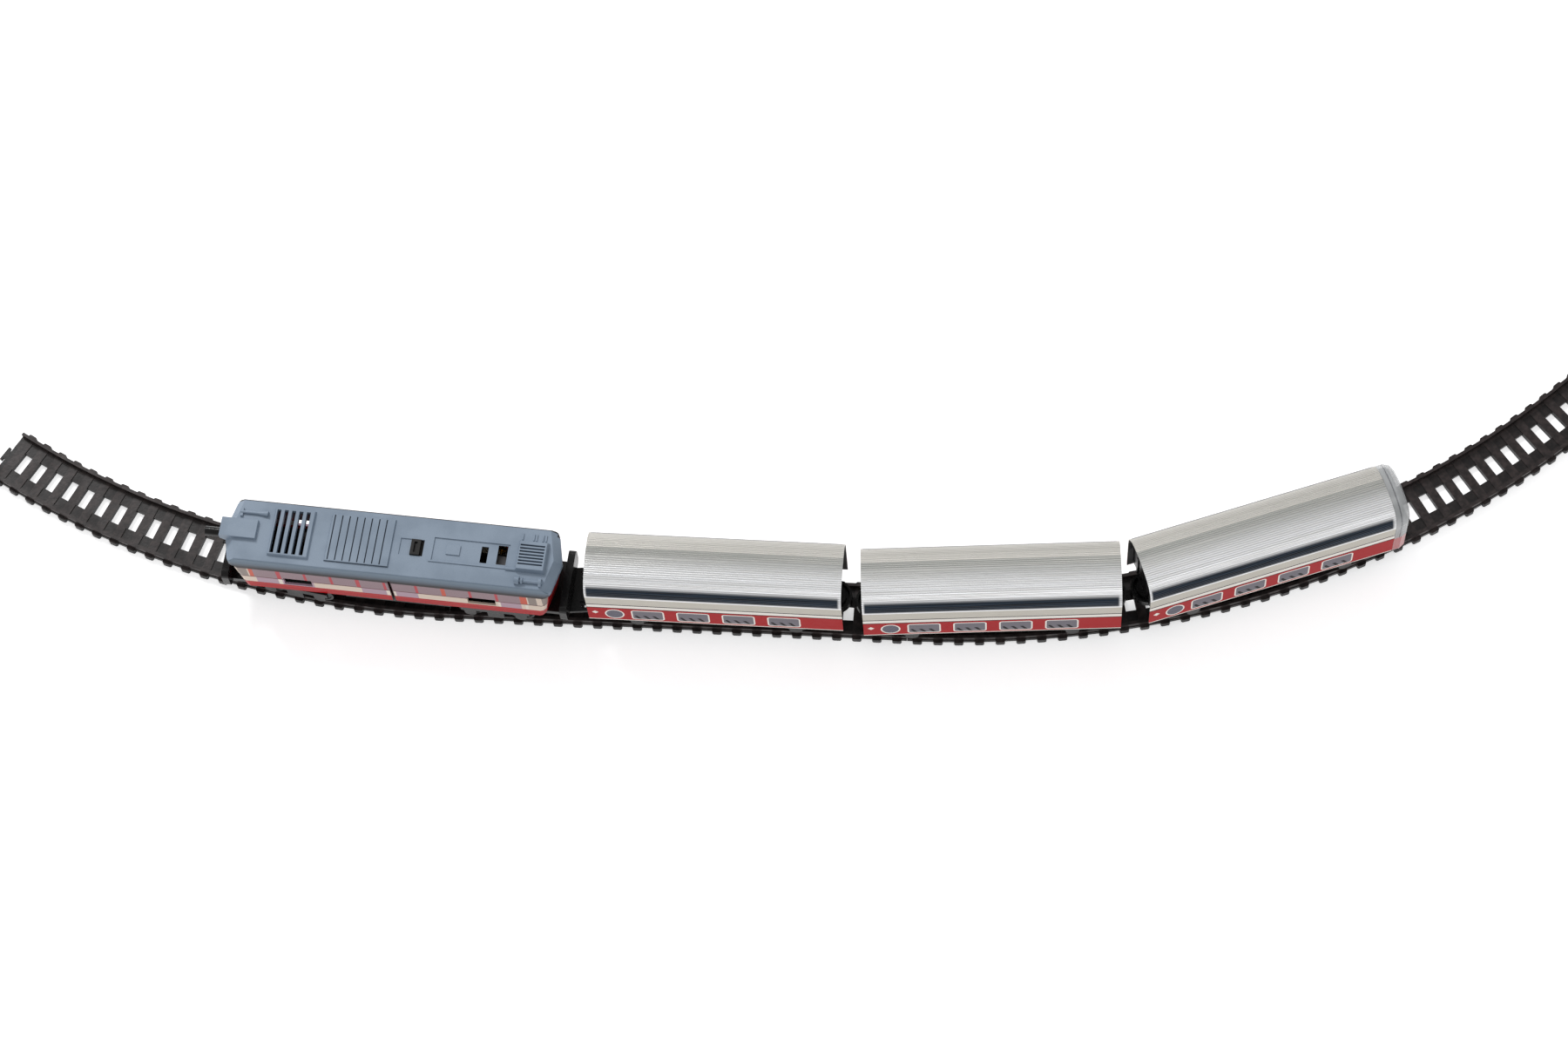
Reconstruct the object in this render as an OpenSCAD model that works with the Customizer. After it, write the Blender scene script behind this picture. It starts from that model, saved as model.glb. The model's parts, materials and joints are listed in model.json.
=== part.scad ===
// Battery toy train: a two-cab locomotive and three ribbed metal coaches, standing on
// four sections of moulded track. Each vehicle is drawn in its own frame: X along it with
// the tail at +X, Y across it, Z up from the surface that the track lies on.

/* [Placing] */
// Where the locomotive's middle stands, along the track from the middle of the straight
loco_place = -141; // [-160:1:-120]

/* [Track] */
// Distance between sleepers, along the track
sleeper_pitch = 10.12; // [9:0.02:12]
// Sleepers in the straight section
straight_sleepers = 23; // [20:1:26]
// Sleepers in each curved section
curve_sleepers = 25; // [22:1:28]
// Angle that a curved section turns through, degrees
curve_angle = 30; // [20:1:36]
// Sleeper width along the track
sleeper_w = 4.8; // [4:0.2:5.6]
// Sleeper length across the track
sleeper_len = 31.6; // [30:0.2:40]
// Height of the sleeper tops
sleeper_h = 3; // [2.5:0.1:4]
// Distance between the inner faces of the rails
gauge = 24.9; // [24:0.1:27]
// Rail width
rail_w = 1.6; // [1.2:0.1:2]
// Rail height above the sleepers
rail_h = 2.5; // [2:0.1:4]
// Width of the open windows between the rails
window_w = 10.8; // [8:0.2:14]
// Thickness of the flat web between the rails
web_t = 1.8; // [1.2:0.1:2.2]

/* [Wheels] */
// Tread radius of a coach wheel
coach_wheel_r = 6; // [5:0.1:6.4]
// Tread radius of a locomotive wheel
loco_wheel_r = 6.5; // [6:0.1:7]
// How far a flange stands out of its tread
flange_h = 0.7; // [0.5:0.05:1]
// Flange width
flange_w = 1; // [0.8:0.1:1.2]
// Tread width
tread_w = 2.4; // [2:0.1:3]
// Axle radius
axle_r = 1; // [0.8:0.05:1.3]
// Radial clearance of an axle in its bearing
axle_clearance = 0.05; // [0.02:0.01:0.1]
// Sideways play between a flange and the rail
flange_play = 0.9; // [0.6:0.1:1.2]
// Free height between the flanges and the rail tops
rail_clearance = 0.1; // [0.05:0.05:0.4]

/* [Coaches] */
// Length of a coach shell
coach_len = 128; // [115:1:145]
// Width of a coach shell
coach_w = 34; // [33:0.5:38]
// Height of a coach roof above the ground
coach_top = 55.5; // [50:0.5:62]
// Height of a coach shell's lower edge above the ground
coach_bottom = 16; // [15.5:0.25:17]
// Thickness of the coach's metal sheet
sheet_t = 0.5; // [0.3:0.05:0.8]
// Distance between the two axles of a coach
coach_wheelbase = 80; // [66:1:92]
// Free gap between the shells of two coaches
coach_gap = 9; // [8:0.5:14]
// Length of the clear cap on the last coach
cap_len = 8; // [6:0.5:12]

/* [Locomotive] */
// Length of the body between its corner posts
loco_len = 163; // [160:1:180]
// How far the middle of each nose stands out past the corners
nose_point = 3.5; // [1:0.5:6]
// Width of the locomotive body
loco_w = 34; // [33:0.5:38]
// Height of the roof's flat top
loco_top = 50.5; // [49:0.5:54]
// Depth of the roof's moulded edge
roof_edge_h = 7; // [6:0.5:9]
// Height of the body's lower edge above the ground
loco_bottom = 19.5; // [19.4:0.1:21]
// Wall thickness of the plastic mouldings
wall_t = 1.2; // [0.8:0.1:1.6]
// Distance between the front bogie's pivot and the middle of the drive unit
bogie_spacing = 102; // [100:1:108]
// Distance between the two axles of a bogie
bogie_wheelbase = 26; // [25.5:0.5:28]

/* [Drive] */
// Gear module
gear_m = 0.5; // [0.5:0.05:0.6]
// Teeth on the motor pinion
pinion_teeth = 8; // [8:1:10]
// Teeth on the large wheel of the reduction gear
reduction_teeth = 32; // [30:1:34]
// Teeth on the small wheel of the reduction gear
reduction_pinion_teeth = 10; // [9:1:12]
// Teeth on the idler gear
idler_teeth = 44; // [42:2:46]
// Teeth on each axle gear
axle_gear_teeth = 20; // [18:2:22]

/* [Battery] */
// Radius of the battery cell
cell_r = 7.1; // [7:0.05:7.3]
// Length of the battery cell without its button
cell_len = 49; // [48:0.5:50]

/* [Couplings] */
// Distance from the locomotive's middle to its coupling pivot
loco_pivot_x = 84; // [82:0.5:88]
// Distance from a coach's end to its coupling pivot
pivot_inset = 5; // [4:0.5:8]
// Radius of a coupling pin
coupling_pin_r = 1.5; // [1.2:0.1:1.8]
// Radial clearance of a drawbar on its pin
coupling_clearance = 0.05; // [0.02:0.01:0.1]
// Thickness of a drawbar
drawbar_t = 1.8; // [1.4:0.1:2.2]

/* [Hidden] */
$fn = 48;

// ---- sizes that follow from the ones above ----
rail_top = sleeper_h + rail_h;
web_z = sleeper_h - 0.4 - web_t;
ledge_z = sleeper_h - 0.2;
bar_z = web_z + 0.1;
bar_t = web_t - 0.2;
rail_in = gauge / 2;
rail_out = rail_in + rail_w;
half_straight = straight_sleepers * sleeper_pitch / 2;
curve_r = curve_sleepers * sleeper_pitch * 180 / (PI * curve_angle);
// half of the slit between two sections, as a length and as an angle of the curve
slit = 0.1;
slit_angle = slit * 180 / (PI * curve_r);

// wheels: the flanges stand just above the rails
flange_y = gauge / 2 - flange_play - flange_w;
tread_y = flange_y + flange_w;
wheel_y = tread_y + tread_w;
loco_axle_z = rail_top + rail_clearance + flange_h + loco_wheel_r;
coach_axle_z = rail_top + rail_clearance + flange_h + coach_wheel_r;

// coaches
shoulder_r = 11;
crown_r = 30;
shoulder_y = coach_w / 2 - shoulder_r;
crown_z = coach_top - crown_r;
shoulder_z = crown_z + sqrt(pow(crown_r - shoulder_r, 2) - pow(shoulder_y, 2));
crown_y = shoulder_y * crown_r / (crown_r - shoulder_r);
coach_floor_z = coach_axle_z + coach_wheel_r + flange_h + 1.5;
coach_pivot_x = coach_len / 2 - pivot_inset;
coach_frame_y = wheel_y + 0.95;
coach_side_y = coach_w / 2 - sheet_t - 0.2;
bulkhead_x = coach_len / 2 - 4.5;

// locomotive
loco_x = loco_len / 2;
loco_side_z = loco_top - roof_edge_h;
floor_z = loco_axle_z + loco_wheel_r + flange_h + 0.6;
floor_t = 1.8;
floor_y = loco_w / 2 - wall_t - 0.2;
nose_x = loco_x + nose_point;
nose_slope = 0.167;
nose_tilt = atan(nose_slope);
roof_under = loco_top - wall_t;
bogie_x = -bogie_spacing / 2;
drive_x = bogie_spacing / 2;
post_x = 31;
post_r = 2.6;

// battery box, hung in the floor
cell_z = floor_z - 2.7;
box_y = cell_r + 0.5;
box_x = cell_len / 2 + 2.7;
box_wall = 1.2;
box_top = cell_z + cell_r + 0.3;
box_bottom = cell_z - cell_r - 0.4;

// gear train, all in the X-Z plane
axle_centre = gear_m * (idler_teeth + axle_gear_teeth) / 2;
idler_z = loco_axle_z + sqrt(pow(axle_centre, 2) - pow(bogie_wheelbase / 2, 2));
reduction_angle = 125;
reduction_centre = gear_m * (idler_teeth + reduction_pinion_teeth) / 2;
reduction_x = drive_x + reduction_centre * cos(reduction_angle);
reduction_z = idler_z + reduction_centre * sin(reduction_angle);
pinion_angle = 20;
pinion_centre = gear_m * (reduction_teeth + pinion_teeth) / 2;
motor_x = reduction_x + pinion_centre * cos(pinion_angle);
motor_z = reduction_z + pinion_centre * sin(pinion_angle);
gear_pin_r = 1;
motor_shaft_r = 0.75;
backlash = 0.16;
axle_gear_angle = acos(bogie_wheelbase / 2 / axle_centre);

// couplings
drawbar_top = 15.3;
pin_bottom = drawbar_top - drawbar_t - 0.7;
drawbar_nominal = coach_gap + 2 * pivot_inset;
coach_pitch = coach_len + coach_gap;
coach_1_place = loco_place + loco_pivot_x + drawbar_nominal + coach_pivot_x;
coach_2_place = coach_1_place + coach_pitch;
coach_3_place = coach_2_place + coach_pitch;
half_base = coach_wheelbase / 2;

// ---- the line that the track follows, by distance along it ----
function turned(a) = max(abs(a) - half_straight, 0) * 180 / (PI * curve_r);
function path_x(a) = sign(a) * (min(abs(a), half_straight) + curve_r * sin(turned(a)));
function path_y(a) = curve_r * (1 - cos(turned(a)));
function path_heading(a) = sign(a) * turned(a);
function rise(a, h) = path_y(a + h) - path_y(a - h);
function run(a, h) = path_x(a + h) - path_x(a - h);
function heading(a, h) = atan2(rise(a, h), run(a, h));
function mid_x(a, h) = (path_x(a + h) + path_x(a - h)) / 2;
function mid_y(a, h) = (path_y(a + h) + path_y(a - h)) / 2;
function spot(a, h, d) = [mid_x(a, h) + d * cos(heading(a, h)), mid_y(a, h) + d * sin(heading(a, h))];
bogie_yaw = path_heading(loco_place + bogie_x) - heading(loco_place, drive_x);

// Stand the children on the track, with their middle at distance a and axles at a +/- h
module on_track(a, h) {
    translate([mid_x(a, h), mid_y(a, h), 0])
        rotate([0, 0, heading(a, h)])
            children();
}

module in_loco() {
    on_track(loco_place, drive_x)
        children();
}

// A box from its low corner to its high corner
module block(lo, hi) {
    translate(lo)
        cube(hi - lo);
}

// The same box on both sides of the X-Z plane
module block_pair(lo, hi) {
    block(lo, hi);
    mirror([0, 1, 0])
        block(lo, hi);
}

// A bar along Y
module bar_y(r, y0, y1) {
    translate([0, y1, 0])
        rotate([90, 0, 0])
            cylinder(r = r, h = y1 - y0);
}

// A bar along X
module bar_x(r, x0, x1) {
    translate([x0, 0, 0])
        rotate([0, 90, 0])
            cylinder(r = r, h = x1 - x0);
}

// A flat shape in the X-Z plane, as thick as y0 to y1
module slab_y(y0, y1) {
    translate([0, y1, 0])
        rotate([90, 0, 0])
            linear_extrude(y1 - y0)
                children();
}

// A flat shape in the Y-Z plane, as thick as x0 to x1
module slab_x(x0, x1) {
    translate([x0, 0, 0])
        rotate([90, 0, 90])
            linear_extrude(x1 - x0)
                children();
}

module rounded_square(a, b, r) {
    square([a - 2 * r, b], center = true);
    square([a, b - 2 * r], center = true);
    for (u = [-1, 1], v = [-1, 1])
        translate([u * (a / 2 - r), v * (b / 2 - r)])
            circle(r = r);
}

// ---------------------------------------------------------------- track
// One side of the roadbed: web, ledge and rail, as distance from the centre line and height
module rail_profile(side) {
    polygon([for (p = [
        [window_w / 2, web_z],
        [rail_out + 0.35, web_z],
        [rail_out + 0.35, ledge_z],
        [rail_out, ledge_z],
        [rail_out, rail_top],
        [rail_in, rail_top],
        [rail_in, ledge_z],
        [rail_in - 1.45, ledge_z],
        [rail_in - 1.45, web_z + web_t],
        [window_w / 2, web_z + web_t]
    ]) [side * p[0], p[1]]]);
}

module sleeper() {
    linear_extrude(sleeper_h)
        rounded_square(sleeper_w, sleeper_len, 1);
}

// The T-shaped tongue that hooks a section to the next one, growing by g all round
module tongue(g) {
    translate([0, 0, bar_z - (g > 0 ? 1 : 0)])
        linear_extrude(bar_t + (g > 0 ? 2 : 0)) {
            translate([-2.2 - g, -4 - g])
                square([1.3 + 2 * g, 8 + 2 * g]);
            translate([-1.5, -2.5 - g])
                square([2.2, 5 + 2 * g]);
        }
}

// The cross bar at a joint: it runs into the web and the last sleeper, a little short of the end
module end_bar(notched) {
    bar_y = window_w / 2 + 1.5;
    bar_x = sleeper_pitch / 2 - sleeper_w / 2 + 1;
    if (notched)
        difference() {
            block([-bar_x, -bar_y, bar_z], [-2 * slit, bar_y, bar_z + bar_t]);
            tongue(0.15);
        }
    else {
        block([2 * slit, -bar_y, bar_z], [bar_x, bar_y, bar_z + bar_t]);
        tongue(0);
    }
}

module straight_track() {
    color([0.13, 0.12, 0.12])
        union() {
            for (side = [-1, 1])
                slab_x(-half_straight + slit, half_straight - slit)
                    rail_profile(side);
            for (i = [0 : straight_sleepers - 1])
                translate([-half_straight + (i + 0.5) * sleeper_pitch, 0, 0])
                    sleeper();
            translate([half_straight, 0, 0])
                end_bar(true);
            translate([-half_straight, 0, 0])
                end_bar(false);
        }
}

// A curved section that starts at angle a0 of the curve's circle, centred at x = cx
module curve_track(cx, a0) {
    color([0.13, 0.12, 0.12])
        translate([cx, curve_r, 0])
            union() {
                rotate([0, 0, a0 + slit_angle])
                    rotate_extrude(angle = curve_angle - 2 * slit_angle, $fn = 360)
                        translate([curve_r, 0])
                            for (side = [-1, 1])
                                rail_profile(side);
                for (i = [0 : curve_sleepers - 1])
                    rotate([0, 0, a0 + 90 + (i + 0.5) * curve_angle / curve_sleepers])
                        translate([0, -curve_r, 0])
                            sleeper();
                rotate([0, 0, a0 + 90])
                    translate([0, -curve_r, 0])
                        end_bar(false);
                rotate([0, 0, a0 + 90 + curve_angle])
                    translate([0, -curve_r, 0])
                        end_bar(true);
            }
}

module left_curve_track() {
    curve_track(-half_straight, -90 - curve_angle);
}

module right_curve_track_1() {
    curve_track(half_straight, -90);
}

module right_curve_track_2() {
    curve_track(half_straight, -90 + curve_angle);
}

// ---------------------------------------------------------------- wheels
// Half section of a wheel: hub, flange, tread and dished outer face
module wheel(r, groove) {
    rotate([-90, 0, 0])
        rotate_extrude()
            polygon([
                [axle_r, flange_y - 0.35],
                [2.4, flange_y - 0.35],
                [2.4, flange_y],
                [r + flange_h - 0.1, flange_y],
                [r + flange_h, flange_y + 0.3],
                [r, tread_y],
                [r, tread_y + 0.4],
                [r - groove, tread_y + 0.4],
                [r - groove, wheel_y - 0.4],
                [r, wheel_y - 0.4],
                [r, wheel_y],
                [r - 1, wheel_y],
                [r - 1.4, wheel_y - 0.6],
                [2.4, wheel_y - 0.6],
                [2.2, wheel_y - 0.1],
                [axle_r, wheel_y - 0.1]
            ]);
}

module wheel_pair(r, groove) {
    color([0.1, 0.1, 0.1])
        for (side = [0, 1])
            mirror([0, side, 0])
                wheel(r, groove);
}

module axle(half_len) {
    color([0.75, 0.75, 0.77])
        bar_y(axle_r, -half_len, half_len);
}

// ---------------------------------------------------------------- coaches
// Coach section, drawn in by g, from height z0 up: straight sides, round shoulders, flat crown
module coach_section(g, z0) {
    translate([-coach_w / 2 + g, z0])
        square([coach_w - 2 * g, shoulder_z - z0]);
    for (side = [-1, 1])
        translate([side * shoulder_y, shoulder_z])
            circle(r = shoulder_r - g, $fn = 96);
    intersection() {
        translate([0, crown_z])
            circle(r = crown_r - g, $fn = 180);
        translate([-crown_y, shoulder_z])
            square([2 * crown_y, crown_r]);
    }
}

module coach_shell() {
    color([0.8, 0.8, 0.82])
        difference() {
            slab_x(-coach_len / 2, coach_len / 2)
                coach_section(0, coach_bottom);
            slab_x(-coach_len / 2 - 1, coach_len / 2 + 1)
                coach_section(sheet_t, coach_bottom - 1);
        }
}

// Bearing bracket for one axle end, outside the wheel
module axle_bracket() {
    slab_y(coach_frame_y, coach_frame_y + 1.3) {
        translate([0, coach_axle_z])
            circle(r = 3.3);
        translate([-3.3, coach_axle_z])
            square([6.6, coach_floor_z - coach_axle_z + 0.5]);
    }
}

// End wall inside the shell, with a raised door
module bulkhead() {
    slab_x(bulkhead_x, bulkhead_x + 1.5)
        coach_section(sheet_t + 0.06, coach_floor_z);
    block([bulkhead_x + 1, -5, coach_floor_z], [bulkhead_x + 2.1, 5, shoulder_z - 1]);
    block_pair([bulkhead_x + 1, 8.5, coach_floor_z], [bulkhead_x + 2.1, 10, shoulder_z - 6]);
}

// Round end platform over the coupling, with its pin
module platform() {
    translate([coach_pivot_x, 0, 0]) {
        difference() {
            union() {
                translate([0, 0, 17])
                    cylinder(r = 8.5, h = coach_floor_z - 17 + 0.5);
                block([-8, -8.5, 17], [0, 8.5, coach_floor_z + 0.5]);
            }
            translate([0, 0, 18])
                difference() {
                    cylinder(r = 7.3, h = 20);
                    translate([0, 0, -1])
                        cylinder(r = 5.6, h = 22);
                    block([-9, -9, -2], [3.2, 9, 20]);
                }
        }
        translate([0, 0, drawbar_top + 0.1])
            cylinder(r = 3, h = 18 - drawbar_top);
        translate([0, 0, pin_bottom])
            cylinder(r = coupling_pin_r, h = 18 - pin_bottom);
        translate([0, 0, pin_bottom])
            cylinder(r = coupling_pin_r + 0.6, h = 0.6);
    }
}

module coach_chassis(rear_platform) {
    color([0.09, 0.09, 0.1])
        difference() {
            union() {
                block([-bulkhead_x - 1, -coach_side_y, coach_floor_z],
                    [bulkhead_x + 1, coach_side_y, coach_floor_z + 1.5]);
                block_pair([-bulkhead_x - 1, coach_side_y - 1.1, coach_bottom + 0.6],
                    [bulkhead_x + 1, coach_side_y, coach_floor_z + 0.5]);
                for (end = [0, 1])
                    mirror([end, 0, 0])
                        bulkhead();
                for (end = [-1, 1], side = [0, 1])
                    translate([end * half_base, 0, 0])
                        mirror([0, side, 0])
                            axle_bracket();
                mirror([1, 0, 0])
                    platform();
                if (rear_platform)
                    platform();
            }
            for (end = [-1, 1])
                translate([end * half_base, 0, coach_axle_z])
                    bar_y(axle_r + axle_clearance, -coach_frame_y - 1, coach_frame_y + 1);
        }
}

module coach_axle(end) {
    translate([end * half_base, 0, coach_axle_z])
        axle(coach_frame_y + 0.85);
}

module coach_wheels(end) {
    translate([end * half_base, 0, coach_axle_z])
        wheel_pair(coach_wheel_r, 0);
}

// Clear end cap: a plug inside the shell, a short straight part and a rounded face
module tail_cap() {
    color([0.5, 0.52, 0.56, 0.6])
        difference() {
            union() {
                slab_x(coach_len / 2 - 1.6, coach_len / 2 + 0.5)
                    coach_section(sheet_t + 0.06, coach_bottom + 0.4);
                slab_x(coach_len / 2 + 0.1, coach_len / 2 + cap_len - 4)
                    coach_section(0, coach_bottom);
                hull() {
                    slab_x(coach_len / 2 + cap_len - 4.1, coach_len / 2 + cap_len - 4)
                        coach_section(0, coach_bottom);
                    slab_x(coach_len / 2 + cap_len - 1.3, coach_len / 2 + cap_len - 1.2)
                        coach_section(1.1, coach_bottom + 1.1);
                    slab_x(coach_len / 2 + cap_len - 0.1, coach_len / 2 + cap_len)
                        coach_section(3, coach_bottom + 3);
                }
            }
            slab_x(coach_len / 2 - 3, coach_len / 2 + cap_len - 2.6)
                coach_section(1.9, coach_bottom + 1.9);
        }
}

// A drawbar from pivot p to pivot q: two eyes and a waisted bar, or a wide deck
module drawbar(p, q, wide) {
    reach = norm(q - p);
    color([0.08, 0.08, 0.09])
        translate([p[0], p[1], drawbar_top - drawbar_t])
            rotate([0, 0, atan2(q[1] - p[1], q[0] - p[0])])
                difference() {
                    union() {
                        for (x = [0, reach])
                            translate([x, 0, 0])
                                cylinder(r = 4, h = drawbar_t);
                        block([0, -2.4, 0], [reach, 2.4, drawbar_t]);
                        if (wide) {
                            translate([reach / 2 - 0.5, 0, 0])
                                linear_extrude(drawbar_t)
                                    rounded_square(reach - 1, 24, 2);
                            block_pair([7.5, 6, 0], [reach - 6, 7, drawbar_t + 1]);
                            block([7.5, -7, 0], [8.5, 7, drawbar_t + 1]);
                        }
                    }
                    for (x = [0, reach])
                        translate([x, 0, -1])
                            cylinder(r = coupling_pin_r + coupling_clearance, h = drawbar_t + 2);
                    if (wide)
                        for (side = [-1, 1])
                            translate([reach / 2, side * 9.3, -1])
                                cylinder(r = 1.3, h = drawbar_t + 2);
                }
}

loco_pivot = spot(loco_place, drive_x, loco_pivot_x);

module rear_drawbar() {
    drawbar(loco_pivot, spot(coach_1_place, half_base, -coach_pivot_x), true);
}

module coach_1_drawbar() {
    drawbar(spot(coach_1_place, half_base, coach_pivot_x),
        spot(coach_2_place, half_base, -coach_pivot_x), false);
}

module coach_2_drawbar() {
    drawbar(spot(coach_2_place, half_base, coach_pivot_x),
        spot(coach_3_place, half_base, -coach_pivot_x), false);
}

// ---------------------------------------------------------------- locomotive shell
// Long block with a shallow V at each end that leans in towards the bottom.
// d is how far every face is drawn in.
module nose_end(d) {
    translate([nose_x - d, 0, loco_side_z])
        rotate([0, nose_tilt, 0])
            translate([0, 0, -60])
                linear_extrude(120)
                    polygon([for (p = [
                        [0, 0],
                        [nose_point, loco_w / 2 - 2.2],
                        [nose_point + 1.6, loco_w / 2 - 0.5],
                        [nose_point + 3, loco_w / 2],
                        [loco_len, loco_w / 2],
                        [loco_len, -loco_w / 2],
                        [nose_point + 3, -loco_w / 2],
                        [nose_point + 1.6, -loco_w / 2 + 0.5],
                        [nose_point, -loco_w / 2 + 2.2]
                    ]) [-p[0] * cos(nose_tilt), p[1] - sign(p[1]) * d]]);
}

module windscreen_space(g) {
    block([0, -13.8 + g, loco_side_z - 9.4 + g],
        [nose_x + 5, 13.8 - g, loco_side_z + 5]);
}

module rear_body_shell() {
    color([0.78, 0.2, 0.22])
        in_loco()
            difference() {
                intersection() {
                    nose_end(0);
                    block([0.5, -loco_w, loco_bottom], [loco_len, loco_w, loco_side_z - 0.1]);
                }
                nose_end(wall_t);
                windscreen_space(0);
                block([post_x + 7.6, -loco_w, 26.2], [post_x + 21.9, loco_w, 33]);
            }
}

module front_body_shell() {
    color([0.78, 0.2, 0.22])
        in_loco()
            mirror([1, 0, 0])
                difference() {
                    intersection() {
                        nose_end(0);
                        block([0.5, -loco_w, loco_bottom], [loco_len, loco_w, loco_side_z - 0.1]);
                    }
                    nose_end(wall_t);
                    windscreen_space(0);
                    block([post_x + 10.1, -loco_w, 26.2], [post_x + 24.4, loco_w, 33]);
                }
}

module windscreen() {
    color([0.05, 0.05, 0.06])
        intersection() {
            difference() {
                nose_end(0.25);
                nose_end(wall_t - 0.1);
            }
            windscreen_space(0.06);
            block([loco_x - 9, -loco_w, 0], [loco_len, loco_w, loco_side_z - 0.15]);
        }
}

module rear_windscreen() {
    in_loco()
        windscreen();
}

module front_windscreen() {
    in_loco()
        difference() {
            mirror([1, 0, 0])
                windscreen();
            headlamp_bore(0.05);
        }
}

// Roof block: plan with shallow V ends, leaning sides and bevelled ends, drawn in by d
module roof_block(d) {
    half = loco_w / 2 + 0.3 - d;
    apex = nose_x + 1 - d;
    v_angle = atan(nose_point / (half - 2.5));
    difference() {
        intersection() {
            translate([0, 0, loco_side_z - (d > 0 ? 1 : 0)])
                linear_extrude(roof_edge_h - d + (d > 0 ? 1 : 0))
                    polygon([
                        [apex, 0],
                        [apex - nose_point, half - 2.5],
                        [apex - nose_point - 1, half - 0.7],
                        [apex - nose_point - 2.8, half],
                        [-apex + nose_point + 2.8, half],
                        [-apex + nose_point + 1, half - 0.7],
                        [-apex + nose_point, half - 2.5],
                        [-apex, 0],
                        [-apex + nose_point, -half + 2.5],
                        [-apex + nose_point + 1, -half + 0.7],
                        [-apex + nose_point + 2.8, -half],
                        [apex - nose_point - 2.8, -half],
                        [apex - nose_point - 1, -half + 0.7],
                        [apex - nose_point, -half + 2.5]
                    ]);
            slab_x(-loco_len, loco_len)
                polygon([
                    [half, 0],
                    [half, loco_side_z],
                    [half - 0.15, loco_side_z + 3.5],
                    [half - 0.7, loco_top - 0.4 - d],
                    [half - 1.2, loco_top - d],
                    [-half + 1.2, loco_top - d],
                    [-half + 0.7, loco_top - 0.4 - d],
                    [-half + 0.15, loco_side_z + 3.5],
                    [-half, loco_side_z],
                    [-half, 0]
                ]);
        }
        for (end = [0, 180], lean = [-1, 1])
            rotate([0, 0, end])
                translate([apex - 4 + 0.6 * d, 0, loco_top - d])
                    rotate([0, 0, lean * v_angle])
                        rotate([0, 45, 0])
                            translate([0, -30, 0])
                                cube([20, 60, 20]);
    }
}

// A raised panel with sloping sides: corners lo and hi at its foot, height h, slope run b
module raised(lo, hi, h, b) {
    z0 = loco_top - 0.3;
    intersection() {
        slab_y(lo[1] - 1, hi[1] + 1)
            polygon([[lo[0], z0], [hi[0], z0], [hi[0] - b, z0 + h + 0.3], [lo[0] + b, z0 + h + 0.3]]);
        slab_x(lo[0] - 1, hi[0] + 1)
            polygon([[lo[1], z0], [hi[1], z0], [hi[1] - b, z0 + h + 0.3], [lo[1] + b, z0 + h + 0.3]]);
    }
}

louvre_x = -nose_x + 24;
louvre_pitch = 3.77;
groove_pitch = 3.78;
knob_gap = 1.6;
knob_w = 4.8;
knob_x = 9.7;
frame_x = 20.8;
radiator_x = loco_x - 18.2;
radiator_pitch = 1.7;

// Hood over the headlamp, standing out past the front of the roof
module headlamp_hood() {
    slab_y(-5, 5)
        polygon([
            [-nose_x + 16.5, loco_top - 0.6],
            [-nose_x + 16, loco_top + 1.8],
            [-nose_x - 2.2, loco_top + 1.8],
            [-nose_x - 2.6, loco_top + 1.2],
            [-nose_x - 2.6, loco_top - 2],
            [-nose_x + 0.6, loco_top - 4.6],
            [-nose_x + 3.4, loco_top - 2.4],
            [-nose_x + 4.6, loco_top - 0.6]
        ]);
}

// Air horn along X: a trumpet, a tube and a cross flange
module front_horn() {
    translate([-nose_x + 6, 9.2, loco_top + 0.6])
        rotate([0, 90, 0]) {
            cylinder(r = 0.8, h = 13);
            translate([0, 0, 9])
                cylinder(r1 = 0.8, r2 = 1.5, h = 5.2);
        }
    block([-nose_x + 6.1, 6.9, loco_top - 0.5], [-nose_x + 7.4, 11.5, loco_top + 1]);
}

module rear_horn() {
    translate([loco_x - 17.2, -12.8, loco_top + 0.8])
        rotate([0, 90, 0]) {
            cylinder(r = 0.9, h = 14);
            cylinder(r = 2, h = 2.4);
            translate([0, 0, 3.2])
                cylinder(r = 1.6, h = 1);
            translate([0, 0, 12.2])
                cylinder(r = 2.2, h = 1.4);
        }
}

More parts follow.
